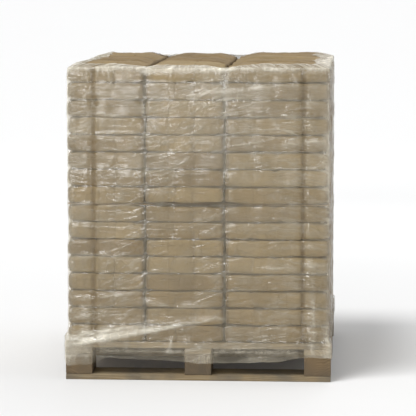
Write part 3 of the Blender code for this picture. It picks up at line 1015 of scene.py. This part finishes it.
def build_film(layers, boards, pad, surface):
    """The film as one skin, laid over the load: it bridges hollows, clings between, and folds."""
    columns = film_columns()
    xy, facing = film_outline(columns, 0.0)
    stride = np.linalg.norm(np.roll(xy, -1, 0) - xy, axis=1)
    girth = stride.sum()
    along = np.concatenate([[0.0], np.cumsum(stride)[:-1]])
    corners = along[(columns[:, 1] == 1) & (columns[:, 2] == 0.5)]
    place, out, up = film_rows(columns, xy, facing)
    walk = np.broadcast_to(along, up.shape)
    firm = height_under(layers + boards, pad, place, out)
    # Hollows narrower than the bridged cells are closed
    widened = spread_high(firm, BRIDGED_ROWS, BRIDGED_COLUMNS)
    bridge = smoothed(-spread_high(-widened, BRIDGED_ROWS, BRIDGED_COLUMNS), 6)
    cling = smoothed(firm, 1)
    patch = soft_noise(np.column_stack([xy, np.zeros(len(xy))]), 3.0, 8)
    suck = np.clip(0.62 + 0.30 * patch[None, :] + 0.16 * np.sin(up * 9 + walk * 5), 0.1, 0.95)
    skin = np.maximum(bridge * (1 - suck) + cling * suck, firm) + FILM_CLEARANCE
    # Milkier over hollows, and in the upper half, where more turns overlap unevenly
    overlap = soft_noise(place.reshape(-1, 3), 2.6, 12).reshape(up.shape)
    haze = 0.11 * step(skin - firm, 0.0012, 0.0050)
    haze += 0.06 * np.maximum(overlap + 0.2, 0.0) + 0.09 * step(up, 0.48, 0.85)
    for start, end, height, wide in film_folds(corners, girth):
        fold = ridge(walk, up, start, end, height, wide, girth)
        skin = skin + fold
        haze = haze + HAZE_PER_FOLD_HEIGHT * fold
    # Doubled film at the corners, foot and top edge looks milkier; along the corners this is also a painted
    # highlight, in beads layer by layer, and the corner creases are clearer
    from_corner = np.min([np.abs((along - c + girth / 2) % girth - girth / 2) for c in corners], 0)
    ripple = 0.86 + 0.14 * np.cos(2 * math.pi * (place[:, :, 2] - DECK_TOP) / LAYER_PITCH)
    haze += 0.18 * np.exp(-(from_corner / 0.024) ** 2) * ripple
    haze -= 0.20 * np.exp(-((from_corner - CORNER_CREASE) / 0.014) ** 2)
    haze += 0.10 * np.exp(-((up - 0.01) / 0.03) ** 2)
    over_rim = up - FILM_RIM
    haze += 0.24 * step(over_rim, -0.034, -0.010) * (1 - 0.75 * step(over_rim, 0.004, 0.024))
    # A clear patch under the top edge in front, where the sacks' slack edge shows dark
    front, share = on_front(xy)
    patch_along = front * step(share, 0.26, 0.33) * step(-share, -0.54, -0.46)
    haze -= 0.26 * patch_along * np.exp(-((over_rim + 0.044) / 0.013) ** 2)
    # Clearer where it hangs free over the fork openings
    hanging = step(-firm, 0.012, 0.019) * step(-place[:, :, 2], -0.106, -0.098)
    haze = haze * (1 - 0.75 * hanging) - 0.15 * hanging
    gather = step(over_rim, -0.045, 0.010) + 0.5 * (1 - 0.7 * hanging) * np.exp(-((up + 0.005) / 0.035) ** 2)
    mesh = film_mesh(place + out * skin[:, :, None], up, along, girth)
    keep_on_points(mesh, "gather", np.clip(gather, 0, 1))
    keep_on_points(mesh, "haze", np.clip(haze, -0.2, 1))
    film = add_object("film_wrap", mesh, surface)
    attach(film, "root")
    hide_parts("stretch_wrap")


# Studio: pale floor, soft light, and the camera where the photograph was taken from

def build_floor():
    """A pale floor, darker near the load as painted shade and whiter far off as painted light, and the room
    round it.
    """
    world = bpy.data.worlds.new("pale_room")
    world.use_nodes = True
    # The camera sees the room as pale as the floor, though it lights the load less than the lamps do
    back = world.node_tree.nodes["Background"]
    seen = add_node(world.node_tree, "ShaderNodeLightPath")
    level = add_node(world.node_tree, "ShaderNodeMapRange", {
        "Value": seen.outputs["Is Camera Ray"], "To Min": 0.30, "To Max": 1.0})
    back.inputs["Color"].default_value = to_linear("#F8F9FA")
    world.node_tree.links.new(level.outputs[0], back.inputs["Strength"])
    bpy.context.scene.world = world
    made, add = new_material("pale_studio_floor")
    place = add("TexCoord").outputs["Object"]
    away = add("VectorMath", {0: place}, operation="LENGTH")
    # Painted shade near the load, and painted light far off where the lamps reach less
    painted_falloff = add("MapRange", {"Value": away, "From Min": 1.0, "From Max": 9.0}, **SMOOTH)
    tint = add("Mix", {
        "Factor": painted_falloff, "A": to_linear("#E6E6E6"), "B": to_linear("#FDFDFD")}, data_type="RGBA")
    add("OutputMaterial", {
        "Surface": add("BsdfPrincipled", {"Base Color": tint, "Roughness": 0.9})})
    mesh = bpy.data.meshes.new("studio_floor")
    work = bmesh.new()
    bmesh.ops.create_grid(work, x_segments=1, y_segments=1, size=FLOOR_REACH)
    work.to_mesh(mesh)
    work.free()
    floor = add_object("studio_floor", mesh, made)


def place_in_studio(name, data, direction, axis, up):
    """Put a lamp or camera into the scene, turned so that its axis points in a direction."""
    made = bpy.data.objects.new(name, data)
    made.rotation_mode = "QUATERNION"
    made.rotation_quaternion = Vector(direction).to_track_quat(axis, up)
    bpy.context.scene.collection.objects.link(made)
    return made


def build_lamps():
    """Two wide suns from above, and soft panels round the load for the film to mirror."""
    for name, direction, power, spread in (
            ("window_light", (-0.40, -0.38, 1.1), 2.18, 24), ("roof_light", (0.60, 0.35, 1.3), 0.50, 60)):
        lamp = bpy.data.lights.new(name, "SUN")
        lamp.energy = power
        lamp.angle = math.radians(spread)
        place_in_studio(name, lamp, direction, "Z", "Y")
    for name, place, size, power in (
            ("soft_panel", (-1.9, -10.8, 1.5), (2.0, 1.3), 27),
            ("soft_strip", (-1.2, -7.6, 5.0), (5.0, 0.7), 34),
            ("back_panel", (-2.4, 10.8, 0.7), (5.0, 0.8), 7),
            ("back_strip", (0.8, 7.6, 5.0), (5.0, 0.7), 34),
            ("right_panel", (10.6, -1.7, 1.6), (2.0, 1.3), 27),
            ("left_panel", (-10.6, 1.7, 1.6), (2.0, 1.3), 27)):
        panel = bpy.data.lights.new(name, "AREA")
        panel.shape = "RECTANGLE"
        panel.size, panel.size_y = size
        panel.energy = power
        panel.spread = math.radians(90)
        glow = place_in_studio(name, panel, Vector(place) - LAMP_AIM, "Z", "Y")
        glow.visible_camera = False
        glow.location = place


def build_camera():
    """The photograph's viewing angle, from eye height a few steps away."""
    camera = bpy.data.cameras.new("photo_camera")
    camera.sensor_width = 36.0
    camera.lens = CAMERA_LENS
    camera.clip_end = 500.0
    turn, tilt = math.radians(CAMERA_AZIMUTH), math.radians(CAMERA_ELEVATION)
    back_way = Vector((math.sin(turn) * math.cos(tilt), -math.cos(turn) * math.cos(tilt), math.sin(tilt)))
    eye = place_in_studio("photo_camera", camera, -back_way, "-Z", "Y")
    eye.location = CAMERA_AIM + back_way * CAMERA_DISTANCE
    bpy.context.scene.camera = eye
    bpy.context.scene.view_settings.view_transform = "Standard"


sack_layers = build_layers(kraft_paper())
pallet_parts = build_pallet()
layer_pad = bpy.data.objects["layer_pad"]
layer_pad.data.materials.clear()
layer_pad.data.materials.append(kraft_board())
build_film(sack_layers, pallet_parts, layer_pad, stretch_film())
build_floor()
build_lamps()
build_camera()
